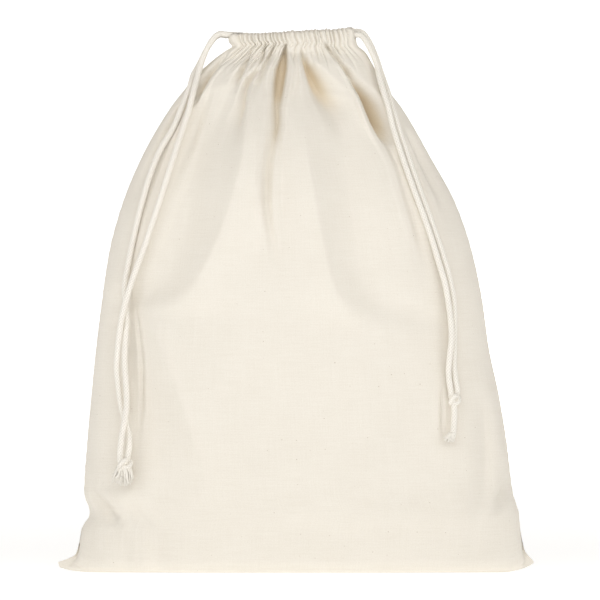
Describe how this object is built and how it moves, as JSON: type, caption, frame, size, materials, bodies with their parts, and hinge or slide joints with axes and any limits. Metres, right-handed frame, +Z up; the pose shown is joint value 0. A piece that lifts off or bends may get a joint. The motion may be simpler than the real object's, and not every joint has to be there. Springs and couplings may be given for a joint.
{
  "type": "cotton drawstring bag",
  "caption": "Hollow cloth bag standing full on its flattened base, its hemmed mouth gathered by cords that end in knots.",
  "frame": {"origin": "under the middle of the bag, on the surface that it stands on", "axes": "+Z up towards the mouth, X across the bag from seam to seam, the front with the cords faces -Y"},
  "size_m": [0.3948, 0.136, 0.4515],
  "materials": {
    "cloth": "unbleached plain-weave cotton canvas with slubs and flecks",
    "cord": "braided cotton cord, paler than the cloth"
  },
  "bodies": {
    "root": {"front_panel": "cloth", "back_panel": "cloth", "left_cord_over": "cord", "left_cord_under": "cord", "right_cord_outer": "cord", "right_cord_inner": "cord", "left_knot": "cord", "right_knot": "cord", "right_tail": "cord", "left_fray": "cord", "right_fray": "cord"}
  },
  "joints": []
}
